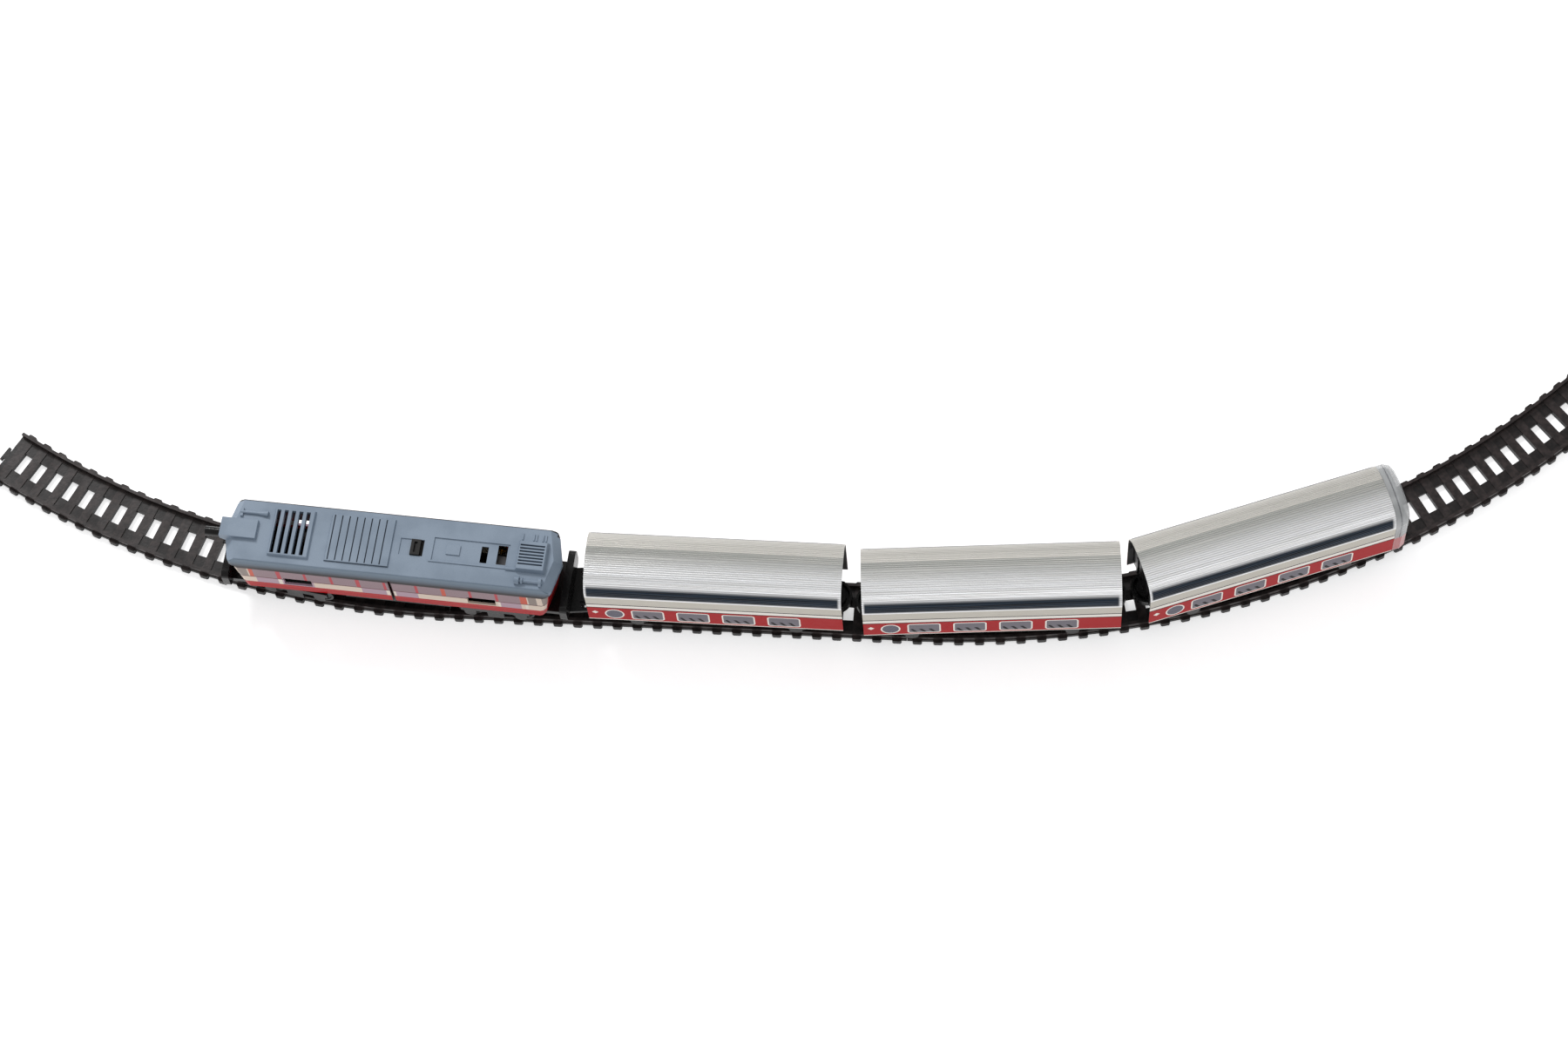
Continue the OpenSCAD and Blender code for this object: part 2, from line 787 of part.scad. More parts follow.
module loco_roof() {
    color([0.6, 0.65, 0.71])
        in_loco()
            difference() {
                union() {
                    difference() {
                        union() {
                            roof_block(0);
                            raised([louvre_x - 0.8, -13], [louvre_x + 20.5, 13.5], 1.5, 0.8);
                            raised([-32.8, -13], [0.4, 13.6], 0.9, 0.6);
                            raised([radiator_x, -8], [radiator_x + 15.6, 9], 2.8, 1);
                        }
                        roof_block(wall_t);
                    }
                    headlamp_hood();
                    front_horn();
                    rear_horn();
                    // lip below the long frame, block inside it and stub pipe beyond it
                    block([frame_x - 1.3, -7.1, loco_top - 0.3],
                        [frame_x + 39, -6.3, loco_top + 0.5]);
                    translate([frame_x + 38, -6.9, loco_top + 0.2])
                        bar_x(0.9, 0, radiator_x - frame_x - 37);
                    // vent ribs next to the radiator
                    for (x = [1.2, 6.8, 8.2, 11.4, 13])
                        block([radiator_x + x, 9.6, loco_top - 0.3],
                            [radiator_x + x + 0.6, 13.2, loco_top + 0.5]);
                    // posts for the screws that hold roof, shells and chassis together
                    for (side = [-1, 1])
                        translate([side * post_x, 0, floor_z + floor_t])
                            cylinder(r = post_r, h = loco_top - floor_z - floor_t - 0.5);
                    // guides that carry the switch slider
                    for (side = [0, 1])
                        mirror([0, side, 0]) {
                            block([knob_x - 3, 5.4, roof_under - 2.3],
                                [knob_x + 10, 6.2, roof_under + 0.3]);
                            block([knob_x - 3, 4.8, roof_under - 2.3],
                                [knob_x + 10, 5.8, roof_under - 1.4]);
                        }
                }
                // louvre slots
                for (i = [0 : 4])
                    block([louvre_x + 0.6 + i * louvre_pitch, -11.6, roof_under - 1],
                        [louvre_x + 2.6 + i * louvre_pitch, 12.1, loco_top + 3]);
                // fine grooves
                for (i = [0 : 7])
                    block([-31.1 + i * groove_pitch, -12, loco_top + 0.25],
                        [-30.5 + i * groove_pitch, 12.6, loco_top + 2]);
                // switch recess and its opening
                block([knob_x - 5.7, -4.8, loco_top - 0.5],
                    [knob_x + knob_w + knob_gap, 4.1, loco_top + 1]);
                block([knob_x - 0.2, -4.8, roof_under - 1],
                    [knob_x + knob_w + knob_gap, 4.1, loco_top + 1]);
                // long frame, sunk, with two openings and a block left standing
                difference() {
                    block([frame_x, -6.3, loco_top - 0.6], [frame_x + 38.5, 6.3, loco_top + 1]);
                    block([frame_x + 6.8, -2.2, loco_top - 1], [frame_x + 13.7, 3.1, loco_top + 1]);
                }
                block([frame_x + 24.3, -4.8, roof_under - 1], [frame_x + 27.8, 4.1, loco_top + 1]);
                block([frame_x + 32.6, -4.8, roof_under - 1], [frame_x + 37.5, 5.6, loco_top + 1]);
                // radiator slots
                for (i = [-3 : 3])
                    translate([0, 0.75 + i * radiator_pitch, 0])
                        block([radiator_x + 1.4, -0.45, roof_under - 1],
                            [radiator_x + 13.8, 0.45, loco_top + 4]);
                // pilot holes
                for (side = [-1, 1])
                    translate([side * post_x, 0, floor_z - 1])
                        cylinder(r = screw_r, h = 14);
                headlamp_bore(0);
            }
}

// ---------------------------------------------------------------- headlamp
lamp_r = 2.4;
lamp_z = loco_side_z + 0.4;

module headlamp_bore(g) {
    translate([0, 0, lamp_z])
        bar_x(lamp_r + g, -nose_x - 14, -nose_x + 8);
}

module headlamp_barrel() {
    color([0.06, 0.06, 0.06])
        in_loco()
            difference() {
                translate([0, 0, lamp_z])
                    bar_x(lamp_r, -nose_x - 11.5, -nose_x + 6);
                translate([0, 0, lamp_z])
                    bar_x(lamp_r - 0.6, -nose_x - 12.5, -nose_x - 8);
            }
}

module headlamp_lens() {
    color([0.9, 0.9, 0.85, 0.6])
        in_loco()
            translate([0, 0, lamp_z])
                bar_x(lamp_r - 0.65, -nose_x - 10.9, -nose_x - 9.6);
}

// ---------------------------------------------------------------- screws
screw_r = 0.85;

module body_screws() {
    color([0.7, 0.7, 0.72])
        in_loco()
            for (side = [-1, 1])
                translate([side * post_x, 0, 0]) {
                    translate([0, 0, floor_z - 1.1])
                        difference() {
                            cylinder(r = 2.1, h = 1.1);
                            block([-1.6, -0.25, -1], [1.6, 0.25, 0.5]);
                            block([-0.25, -1.6, -1], [0.25, 1.6, 0.5]);
                        }
                    translate([0, 0, floor_z - 0.3])
                        cylinder(r = screw_r, h = 12);
                }
}

// ---------------------------------------------------------------- chassis
plate_y = flange_y - 2.25;
skirt_pitch = 6;

// Rounded guard plate across one end of the locomotive
module end_guard() {
    slab_x(nose_x - 0.1, nose_x + 3.5)
        translate([0, 22.25])
            rounded_square(loco_w + 0.6, 12.5, 3);
    block([loco_x - 7.8, -14, 16.4], [nose_x + 1, 14, loco_bottom - 0.3]);
    block([loco_x - 7.8, -12, 16.4], [loco_x - 5.9, 12, floor_z + 1]);
}

module chassis_side_frame(x) {
    translate([x, 0, 0])
        for (side = [0, 1])
            mirror([0, side, 0])
                side_frame(floor_z - 1.8);
}

// Bogie side: beam, two axle boxes and a spring block, centred on its own middle
module side_frame(top) {
    slab_y(wheel_y + 0.95, wheel_y + 2.45) {
        translate([-17.5, top - 3.6])
            square([35, 3.6]);
        translate([-4.2, loco_axle_z - 3.4])
            square([8.4, top - loco_axle_z + 2]);
        for (end = [-1, 1]) {
            translate([end * bogie_wheelbase / 2, loco_axle_z])
                circle(r = 3);
            translate([end * bogie_wheelbase / 2 - 3, loco_axle_z])
                square([6, top - loco_axle_z - 1]);
        }
    }
}

module drive_plates() {
    // bearings for the two driven axles
    for (end = [-1, 1])
        translate([drive_x + end * bogie_wheelbase / 2, 0, 0])
            for (side = [0, 1])
                mirror([0, side, 0])
                    slab_y(plate_y, plate_y + 1.4) {
                        translate([0, loco_axle_z])
                            circle(r = 3.2);
                        translate([-3.2, loco_axle_z])
                            square([6.4, floor_z - loco_axle_z + 0.5]);
                    }
    // inner gear plate, with its outer partner for the reduction gear's pin
    block([reduction_x - 4, 3, floor_z], [drive_x + 11, 4.4, motor_z + 5]);
    block([reduction_x - 4, 11.6, floor_z], [reduction_x + 4, 12.8, reduction_z + 4]);
    // pedestal for the idler's pin
    block([drive_x - 2.5, 8.4, floor_z], [drive_x + 2.5, 10.4, idler_z + 2.2]);
    // cradle under the motor
    block([motor_x - 6.5, -12, floor_z], [motor_x + 6.5, -10, motor_z - 6]);
    block([motor_x - 6.5, -3, floor_z], [motor_x + 6.5, -1, motor_z - 6]);
}

module drive_holes() {
    for (end = [-1, 1])
        translate([drive_x + end * bogie_wheelbase / 2, 0, loco_axle_z])
            bar_y(axle_r + axle_clearance, -plate_y - 2, plate_y + 2);
    translate([drive_x, 0, idler_z])
        bar_y(gear_pin_r, 2, 20);
    translate([reduction_x, 0, reduction_z])
        bar_y(gear_pin_r, 2, 20);
    translate([motor_x, 0, motor_z])
        bar_y(motor_shaft_r + 0.4, 2, 6);
    // slot for the idler, and room for the big reduction gear
    idler_reach = gear_m * idler_teeth / 2 + 1;
    block([drive_x - idler_reach, 4.6, floor_z - 5], [drive_x + idler_reach, 8.3, floor_z + 5]);
}

module battery_box() {
    block([-box_x - 0.8, -box_y - box_wall, box_bottom],
        [box_x + 0.8, box_y + box_wall, box_top + 1.1]);
}

module switch_tower() {
    block([6, -4, box_top], [18, -2.8, switch_z]);
    block([6, 2.8, box_top], [18, 4, switch_z]);
    block([6, -4, switch_z - 1.2], [18, 4, switch_z]);
}

module underframe_skirt() {
    for (side = [0, 1])
        mirror([0, side, 0])
            difference() {
                block([-26, wheel_y + 0.95, floor_z - 5.4], [28, floor_y, floor_z + 0.5]);
                for (i = [0 : 8])
                    translate([-24.5 + i * skirt_pitch, 0, floor_z - 4.6])
                        slab_y(wheel_y, loco_w)
                            polygon([[0, 0], [4.6, 0], [2.3, 3.9]]);
            }
}

switch_z = roof_under - 6.3;

module loco_chassis() {
    color([0.08, 0.08, 0.09])
        in_loco()
            difference() {
                union() {
                    // floor, narrower at its ends to clear the noses' rounded corners
                    block([-loco_x + 7.8, -floor_y, floor_z],
                        [loco_x - 7.8, floor_y, floor_z + floor_t]);
                    block([-loco_x + 5.9, -floor_y + 1.6, floor_z],
                        [loco_x - 5.9, floor_y - 1.6, floor_z + floor_t]);
                    for (end = [0, 1])
                        mirror([end, 0, 0])
                            end_guard();
                    battery_box();
                    switch_tower();
                    underframe_skirt();
                    drive_plates();
                    chassis_side_frame(drive_x);
                    block_pair([drive_x - 17.5, wheel_y + 0.95, floor_z - 2],
                        [drive_x + 17.5, floor_y, floor_z + 0.5]);
                    // boss over the front bogie
                    translate([bogie_x, 0, floor_z - 1])
                        cylinder(r = 4, h = 2);
                    // rear coupling pin
                    translate([loco_pivot_x, 0, drawbar_top + 0.1])
                        cylinder(r = 3, h = 2);
                    translate([loco_pivot_x, 0, pin_bottom])
                        cylinder(r = coupling_pin_r, h = 18 - pin_bottom);
                    translate([loco_pivot_x, 0, pin_bottom])
                        cylinder(r = coupling_pin_r + 0.6, h = 0.6);
                }
                block([-box_x, -box_y, box_bottom - 1], [box_x, box_y, box_top]);
                // slots for the cover's clips
                block([-5.3, -loco_w / 2 + 4, box_bottom + 1], [5.3, loco_w / 2 - 4, box_bottom + 2]);
                drive_holes();
                translate([bogie_x, 0, floor_z - 2])
                    cylinder(r = bogie_screw_r, h = 5);
                for (side = [-1, 1])
                    translate([side * post_x, 0, floor_z - 1])
                        cylinder(r = screw_r, h = 5);
            }
}

// ---------------------------------------------------------------- battery and switch
module battery_cell() {
    color([0.2, 0.35, 0.3])
        in_loco()
            translate([0, 0, cell_z]) {
                bar_x(cell_r, -cell_len / 2 - 0.1, cell_len / 2 - 0.1);
                bar_x(2.7, cell_len / 2 - 0.2, cell_len / 2 + 1.1);
            }
}

module battery_contacts() {
    color([0.8, 0.78, 0.7])
        in_loco()
            translate([0, 0, cell_z]) {
                for (end = [-1, 1])
                    translate([end * (box_x - 0.15), 0, 0])
                        cube([0.3, 9, 10], center = true);
                bar_x(1.5, cell_len / 2 + 1.15, box_x - 0.2);
                for (i = [0 : 3])
                    translate([-box_x + 0.5 + i * 0.45, 0, 0])
                        rotate([0, 90, 0])
                            rotate_extrude()
                                translate([4 - 0.4 * i, 0])
                                    circle(r = 0.32, $fn = 12);
            }
}

module battery_cover() {
    color([0.08, 0.08, 0.09])
        in_loco() {
            block([-box_x - 0.8, -box_y - box_wall, box_bottom - 1.4],
                [box_x + 0.8, box_y + box_wall, box_bottom - 0.2]);
            block_pair([-5, box_y - 1, box_bottom - 0.3], [5, box_y - 0.1, box_bottom + 2.4]);
            block_pair([-5, box_y - 1, box_bottom + 1.1], [5, box_y + 0.5, box_bottom + 1.9]);
            for (x = [-16, 15])
                block([x, -3, box_bottom - 0.3], [x + 1, 3, cell_z - cell_r - 0.05]);
        }
}

module switch_slider() {
    color([0.05, 0.05, 0.05])
        in_loco()
            difference() {
                union() {
                    block([knob_x - 2.4, -5.3, roof_under - 1.3],
                        [knob_x + knob_w + 2.4, 5.3, roof_under - 0.1]);
                    block([knob_x, -4.5, roof_under - 0.2],
                        [knob_x + knob_w, 3.8, loco_top + 0.9]);
                    block([knob_x + 0.4, -2, switch_z + 0.5],
                        [knob_x + 4.4, 2, roof_under - 1.2]);
                }
                block([knob_x + 1.6, -3.2, loco_top - 0.1], [knob_x + 3.2, 2.5, loco_top + 2]);
            }
}

module switch_contact() {
    color([0.8, 0.6, 0.3])
        in_loco()
            for (x = [7, 11.6])
                block([x, -2.4, switch_z], [x + 3.8, 2.4, switch_z + 0.4]);
}

// ---------------------------------------------------------------- front bogie
bogie_screw_r = 1.4;

module in_bogie() {
    in_loco()
        translate([bogie_x, 0, 0])
            rotate([0, 0, bogie_yaw])
                children();
}

module front_bogie_frame() {
    top = floor_z - 1.8;
    color([0.08, 0.08, 0.09])
        in_bogie()
            difference() {
                union() {
                    for (side = [0, 1])
                        mirror([0, side, 0])
                            side_frame(top);
                    block([-5, -wheel_y - 1.2, top - 2.4], [5, wheel_y + 1.2, top]);
                    translate([0, 0, top - 2.4])
                        cylinder(r = 5, h = 3.1);
                }
                for (end = [-1, 1])
                    translate([end * bogie_wheelbase / 2, 0, loco_axle_z])
                        bar_y(axle_r + axle_clearance, -wheel_y - 1.95, wheel_y + 1.95);
                translate([0, 0, top - 4])
                    cylinder(r = bogie_screw_r + axle_clearance, h = 8);
            }
}

module front_bogie_screw() {
    color([0.7, 0.7, 0.72])
        in_loco()
            translate([bogie_x, 0, 0]) {
                translate([0, 0, floor_z - 5.7])
                    difference() {
                        cylinder(r = 2.8, h = 1.4);
                        block([-2, -0.3, -1], [2, 0.3, 0.6]);
                        block([-0.3, -2, -1], [0.3, 2, 0.6]);
                    }
                translate([0, 0, floor_z - 4.5])
                    cylinder(r = bogie_screw_r, h = 5.9);
            }
}

module bogie_axle_1() {
    in_bogie()
        translate([-bogie_wheelbase / 2, 0, loco_axle_z])
            axle(wheel_y + 1.8);
}

module bogie_wheels_1() {
    in_bogie()
        translate([-bogie_wheelbase / 2, 0, loco_axle_z])
            wheel_pair(loco_wheel_r, 0);
}

module bogie_axle_2() {
    in_bogie()
        translate([bogie_wheelbase / 2, 0, loco_axle_z])
            axle(wheel_y + 1.8);
}

module bogie_wheels_2() {
    in_bogie()
        translate([bogie_wheelbase / 2, 0, loco_axle_z])
            wheel_pair(loco_wheel_r, 0);
}

// ---------------------------------------------------------------- drive
// Spur gear: half a tooth's angle at radius rho, for n teeth, in degrees
function involute(a) = tan(a) * 180 / PI - a;
function half_tooth(n, rho) = 90 / n - backlash * 90 / (PI * n * gear_m)
    + involute(20) - involute(acos(min(1, gear_m * n * cos(20) / 2 / rho)));

module gear_shape(n) {
    pitch = gear_m * n / 2;
    tip = pitch + 0.72 * gear_m;
    root = pitch - 0.95 * gear_m;
    base = max(root, pitch * cos(20));
    polygon([for (i = [0 : n - 1], c = [
        [root, -half_tooth(n, base) * 1.02],
        [base + 0.01, -half_tooth(n, base + 0.01)],
        [pitch, -half_tooth(n, pitch)],
        [tip, -half_tooth(n, tip)],
        [tip, half_tooth(n, tip)],
        [pitch, half_tooth(n, pitch)],
        [base + 0.01, half_tooth(n, base + 0.01)],
        [root, half_tooth(n, base) * 1.02]
    ]) c[0] * [cos(i * 360 / n + c[1]), sin(i * 360 / n + c[1])]]);
}

// A gear about the Y axis from y0 to y1, one tooth pointing along phase
module gear(n, phase, y0, y1) {
    slab_y(y0, y1)
        rotate(phase)
            gear_shape(n);
}

// Phase of a gear that meshes with another one lying at angle a from it
function meshed(a, phase, n, m) = a + 180 + ((a - phase) * n - 180) / m;

reduction_phase = meshed(reduction_angle, 0, idler_teeth, reduction_pinion_teeth);
pinion_phase = meshed(pinion_angle, 0, reduction_teeth, pinion_teeth);
front_gear_angle = 180 + axle_gear_angle;
rear_gear_angle = -axle_gear_angle;

module motor() {
    color([0.7, 0.7, 0.72])
        in_loco()
            translate([motor_x, 0, motor_z])
                difference() {
                    union() {
                        intersection() {
                            bar_y(7.75, -13.5, 3);
                            block([-8, -14, -6], [8, 4, 6]);
                        }
                        bar_y(2.5, -14.3, -13);
                    }
                    bar_y(motor_shaft_r + 0.05, -6, 4);
                }
}

module motor_pinion() {
    color([0.85, 0.7, 0.35])
        in_loco()
            translate([motor_x, 0, motor_z]) {
                bar_y(motor_shaft_r, -5, 10.9);
                gear(pinion_teeth, pinion_phase, 8.5, 10.7);
            }
}

module reduction_gear() {
    color([0.92, 0.9, 0.84])
        in_loco()
            translate([reduction_x, 0, reduction_z])
                difference() {
                    union() {
                        gear(reduction_pinion_teeth, reduction_phase, 4.8, 8.7);
                        gear(reduction_teeth, 0, 8.6, 10.6);
                        bar_y(1.9, 10.5, 11.4);
                    }
                    bar_y(gear_pin_r + axle_clearance, 4, 12);
                }
}

module idler_gear() {
    color([0.92, 0.9, 0.84])
        in_loco()
            translate([drive_x, 0, idler_z])
                difference() {
                    union() {
                        gear(idler_teeth, 0, 5, 8);
                        bar_y(3, 4.6, 8.2);
                    }
                    bar_y(gear_pin_r + axle_clearance, 4, 9);
                    for (i = [0 : 4])
                        rotate([0, 36 + i * 72, 0])
                            translate([6.4, 0, 0])
                                bar_y(2, 4, 9);
                }
}

module gear_shafts() {
    color([0.75, 0.75, 0.77])
        in_loco() {
            translate([reduction_x, 0, reduction_z])
                bar_y(gear_pin_r, 3, 12.8);
            translate([drive_x, 0, idler_z])
                bar_y(gear_pin_r, 3, 10.4);
        }
}

module drive_axle(end) {
    in_loco()
        translate([drive_x + end * bogie_wheelbase / 2, 0, loco_axle_z])
            axle(wheel_y);
}

module drive_wheels(end) {
    in_loco()
        translate([drive_x + end * bogie_wheelbase / 2, 0, loco_axle_z])
            wheel_pair(loco_wheel_r, 0.5);
}

module drive_tyres(end) {
    color([0.15, 0.15, 0.15])
        in_loco()
            translate([drive_x + end * bogie_wheelbase / 2, 0, loco_axle_z])
                for (side = [0, 1])
                    mirror([0, side, 0])
                        difference() {
                            bar_y(loco_wheel_r, tread_y + 0.45, wheel_y - 0.45);
                            bar_y(loco_wheel_r - 0.5, tread_y, wheel_y);
                        }
}

module axle_gear(end, angle) {
    color([0.92, 0.9, 0.84])
        in_loco()
            translate([drive_x + end * bogie_wheelbase / 2, 0, loco_axle_z])
                difference() {
                    union() {
                        gear(axle_gear_teeth, meshed(angle, 0, idler_teeth, axle_gear_teeth), 5, 8);
                        bar_y(2.2, 4.2, 8.2);
                    }
                    bar_y(axle_r, 4, 9);
                }
}

// ---------------------------------------------------------------- named pieces
module coach_1_shell() {
    on_track(coach_1_place, half_base)
        coach_shell();
}

module coach_1_chassis() {
    on_track(coach_1_place, half_base)
        coach_chassis(true);
}

module coach_1_front_axle() {
    on_track(coach_1_place, half_base)
        coach_axle(-1);
}

module coach_1_front_wheels() {
    on_track(coach_1_place, half_base)
        coach_wheels(-1);
}

module coach_1_rear_axle() {
    on_track(coach_1_place, half_base)
        coach_axle(1);
}

module coach_1_rear_wheels() {
    on_track(coach_1_place, half_base)
        coach_wheels(1);
}

module coach_2_shell() {
    on_track(coach_2_place, half_base)
        coach_shell();
}

module coach_2_chassis() {
    on_track(coach_2_place, half_base)
        coach_chassis(true);
}

module coach_2_front_axle() {
    on_track(coach_2_place, half_base)
        coach_axle(-1);
}

module coach_2_front_wheels() {
    on_track(coach_2_place, half_base)
        coach_wheels(-1);
}

module coach_2_rear_axle() {
    on_track(coach_2_place, half_base)
        coach_axle(1);
}

module coach_2_rear_wheels() {
    on_track(coach_2_place, half_base)
        coach_wheels(1);
}

module coach_3_shell() {
    on_track(coach_3_place, half_base)
        coach_shell();
}

module coach_3_chassis() {
    on_track(coach_3_place, half_base)
        coach_chassis(false);
}

module coach_3_front_axle() {
    on_track(coach_3_place, half_base)
        coach_axle(-1);
}

module coach_3_front_wheels() {
    on_track(coach_3_place, half_base)
        coach_wheels(-1);
}

module coach_3_rear_axle() {
    on_track(coach_3_place, half_base)
        coach_axle(1);
}

module coach_3_rear_wheels() {
    on_track(coach_3_place, half_base)
        coach_wheels(1);
}

module coach_3_tail_cap() {
    on_track(coach_3_place, half_base)
        tail_cap();
}

module front_drive_axle() {
    drive_axle(-1);
}

module front_drive_wheels() {
    drive_wheels(-1);
}

module front_drive_tyres() {
    drive_tyres(-1);
}

module front_axle_gear() {
    axle_gear(-1, front_gear_angle);
}

module rear_drive_axle() {
    drive_axle(1);
}

module rear_drive_wheels() {
    drive_wheels(1);
}

module rear_drive_tyres() {
    drive_tyres(1);
}

module rear_axle_gear() {
    axle_gear(1, rear_gear_angle);
}

left_curve_track();
straight_track();
right_curve_track_1();
right_curve_track_2();
loco_chassis();
front_body_shell();
rear_body_shell();
loco_roof();
front_windscreen();
rear_windscreen();
headlamp_barrel();
headlamp_lens();
body_screws();
motor();
motor_pinion();
reduction_gear();
idler_gear();
gear_shafts();
front_drive_axle();
front_drive_wheels();
front_drive_tyres();
front_axle_gear();
rear_drive_axle();
rear_drive_wheels();
rear_drive_tyres();
rear_axle_gear();
front_bogie_frame();
front_bogie_screw();
bogie_axle_1();
bogie_wheels_1();
bogie_axle_2();
bogie_wheels_2();
battery_cell();
battery_contacts();
battery_cover();
switch_slider();
switch_contact();
rear_drawbar();
coach_1_shell();
coach_1_chassis();
coach_1_front_axle();
coach_1_front_wheels();
coach_1_rear_axle();
coach_1_rear_wheels();
coach_1_drawbar();
coach_2_shell();
coach_2_chassis();
coach_2_front_axle();
coach_2_front_wheels();
coach_2_rear_axle();
coach_2_rear_wheels();
coach_2_drawbar();
coach_3_shell();
coach_3_chassis();
coach_3_front_axle();
coach_3_front_wheels();
coach_3_rear_axle();
coach_3_rear_wheels();
coach_3_tail_cap();
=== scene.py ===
import json
import math

import bpy
import numpy as np
from mathutils import Matrix, Vector

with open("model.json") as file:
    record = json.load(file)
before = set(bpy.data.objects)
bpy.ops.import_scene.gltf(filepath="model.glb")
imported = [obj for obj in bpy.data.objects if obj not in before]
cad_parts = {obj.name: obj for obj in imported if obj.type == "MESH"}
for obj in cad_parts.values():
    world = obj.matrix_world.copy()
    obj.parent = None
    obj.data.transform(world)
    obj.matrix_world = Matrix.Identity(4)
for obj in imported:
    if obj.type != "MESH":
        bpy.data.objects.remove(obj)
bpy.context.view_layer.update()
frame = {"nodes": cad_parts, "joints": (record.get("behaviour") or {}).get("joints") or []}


# ---------------------------------------------------------------- track
# Four snap-together sections moulded in black styrene. The tops are a little browner and
# duller than the sides, and the mould leaves a faint pebbled skin.
nodes = frame["nodes"]
MM = 1000  # millimetres in a metre
SLEEPER_TOP = 2.95


class Flow:
    """A number or colour on its way through a material. Arithmetic on it adds Math nodes."""

    def __init__(self, tree, out):
        self.tree, self.out = tree, out

    def math(self, operation, *terms):
        node = self.tree.nodes.new("ShaderNodeMath")
        node.operation = operation
        for place, term in enumerate(terms):
            if isinstance(term, Flow):
                self.tree.links.new(term.out, node.inputs[place])
            else:
                node.inputs[place].default_value = term
        return Flow(self.tree, node.outputs[0])

    def __add__(self, other): return self.math("ADD", self, other)
    def __radd__(self, other): return self.math("ADD", other, self)
    def __sub__(self, other): return self.math("SUBTRACT", self, other)
    def __rsub__(self, other): return self.math("SUBTRACT", other, self)
    def __mul__(self, other): return self.math("MULTIPLY", self, other)
    def __rmul__(self, other): return self.math("MULTIPLY", other, self)
    def __truediv__(self, other): return self.math("DIVIDE", self, other)
    def __gt__(self, other): return self.math("GREATER_THAN", self, other)
    def __lt__(self, other): return self.math("LESS_THAN", self, other)
    def __abs__(self): return self.math("ABSOLUTE", self)
    def __mod__(self, other): return self.math("FLOORED_MODULO", self, other)
    def sin(self): return self.math("SINE", self)
    def between(self, low, high): return (self > low) * (self < high)
    def either(self, other): return self.math("MAXIMUM", self, other)
    def above(self, other): return self.math("MAXIMUM", self - other, 0.0)

    def rise(self, low, high):
        """0 up to low, 1 from high on, and a smooth step between them."""
        node = self.tree.nodes.new("ShaderNodeMapRange")
        node.interpolation_type = "SMOOTHSTEP"
        self.tree.links.new(self.out, node.inputs["Value"])
        node.inputs["From Min"].default_value = low
        node.inputs["From Max"].default_value = high
        return Flow(self.tree, node.outputs["Result"])


def tint(red, green, blue):
    """A paint chip given in display values 0 to 255, as the linear colour a shader needs."""
    line = [c / 255 for c in (red, green, blue)]
    line = [c / 12.92 if c <= 0.04045 else ((c + 0.055) / 1.055) ** 2.4 for c in line]
    return (*line, 1.0)


class Finish:
    """A material being mixed: its node tree and the shader that it ends in."""

    def __init__(self, name, **fixed):
        self.mat = bpy.data.materials.new(name)
        self.mat.use_nodes = True
        self.tree = self.mat.node_tree
        self.shader = self.tree.nodes["Principled BSDF"]
        for socket, value in fixed.items():
            self.shader.inputs[socket.replace("_", " ")].default_value = value

    def node(self, kind, settings=None, out=0, **sockets):
        node = self.tree.nodes.new("ShaderNode" + kind)
        for name, value in (settings or {}).items():
            if name == "stops":
                ramp = node.color_ramp
                ramp.interpolation = "CONSTANT"
                ramp.elements.remove(ramp.elements[1])
                ramp.elements[0].position = 0.0
                ramp.elements[0].color = value[0][1]
                for spot, colour in value[1:]:
                    ramp.elements.new(spot).color = colour
            else:
                setattr(node, name, value)
        for name, value in sockets.items():
            socket = node.inputs[int(name[1:])] if name[1:].isdigit() else node.inputs[name]
            if isinstance(value, Flow):
                self.tree.links.new(value.out, socket)
            else:
                socket.default_value = value
        return Flow(self.tree, node.outputs[out])

    def place(self, centre=(0, 0), turn=0.0):
        """Millimetres along a vehicle's own axes: x along it, y across it, z up."""
        c, s = math.cos(-turn), math.sin(-turn)
        shift = (-MM * (c * centre[0] - s * centre[1]), -MM * (s * centre[0] + c * centre[1]), 0)
        coords = self.node("TexCoord", out=3)
        self.vector = self.node("Mapping", Vector=coords, Location=shift,
                                Rotation=(0, 0, -turn), Scale=(MM, MM, MM))
        split = self.tree.nodes.new("ShaderNodeSeparateXYZ")
        self.tree.links.new(self.vector.out, split.inputs[0])
        return [Flow(self.tree, split.outputs[i]) for i in range(3)]

    def noise(self, scale, detail=3.0, stretch=None):
        vector = self.vector
        if stretch:
            vector = self.node("Mapping", Vector=vector, Scale=stretch)
        return self.node("TexNoise", Vector=vector, Scale=scale, Detail=detail)

    def mix(self, share, low, high):
        return self.node("Mix", {"data_type": "RGBA"}, out=2, _0=share, _6=low, _7=high)

    def use(self, socket, value):
        self.tree.links.new(value.out, self.shader.inputs[socket])

    def bump(self, height, depth):
        """Height in parts of depth, and depth in millimetres."""
        self.use("Normal", self.node("Bump", Height=height, Distance=depth / MM, Strength=1.0))

    def on(self, *names):
        for name in names:
            slots = nodes[name].data.materials
            slots.clear()
            slots.append(self.mat)


def moulded(name, colour, worn, rough, centre=(0, 0), turn=0.0, grain=0.9):
    """A moulded plastic: worn shows on a cloudy share of the skin, over a fine pebble."""
    made = Finish(name, Specular_IOR_Level=0.28)
    made.place(centre, turn)
    cloud = made.noise(0.07, 4.0).rise(0.42, 0.66)
    fleck = made.noise(grain, 2.0)
    made.use("Base Color", made.mix(cloud * 0.7 + fleck * 0.25, colour, worn))
    made.use("Roughness", cloud * 0.12 + fleck * 0.1 + (rough - 0.08))
    made.bump(fleck, 0.05)
    return made


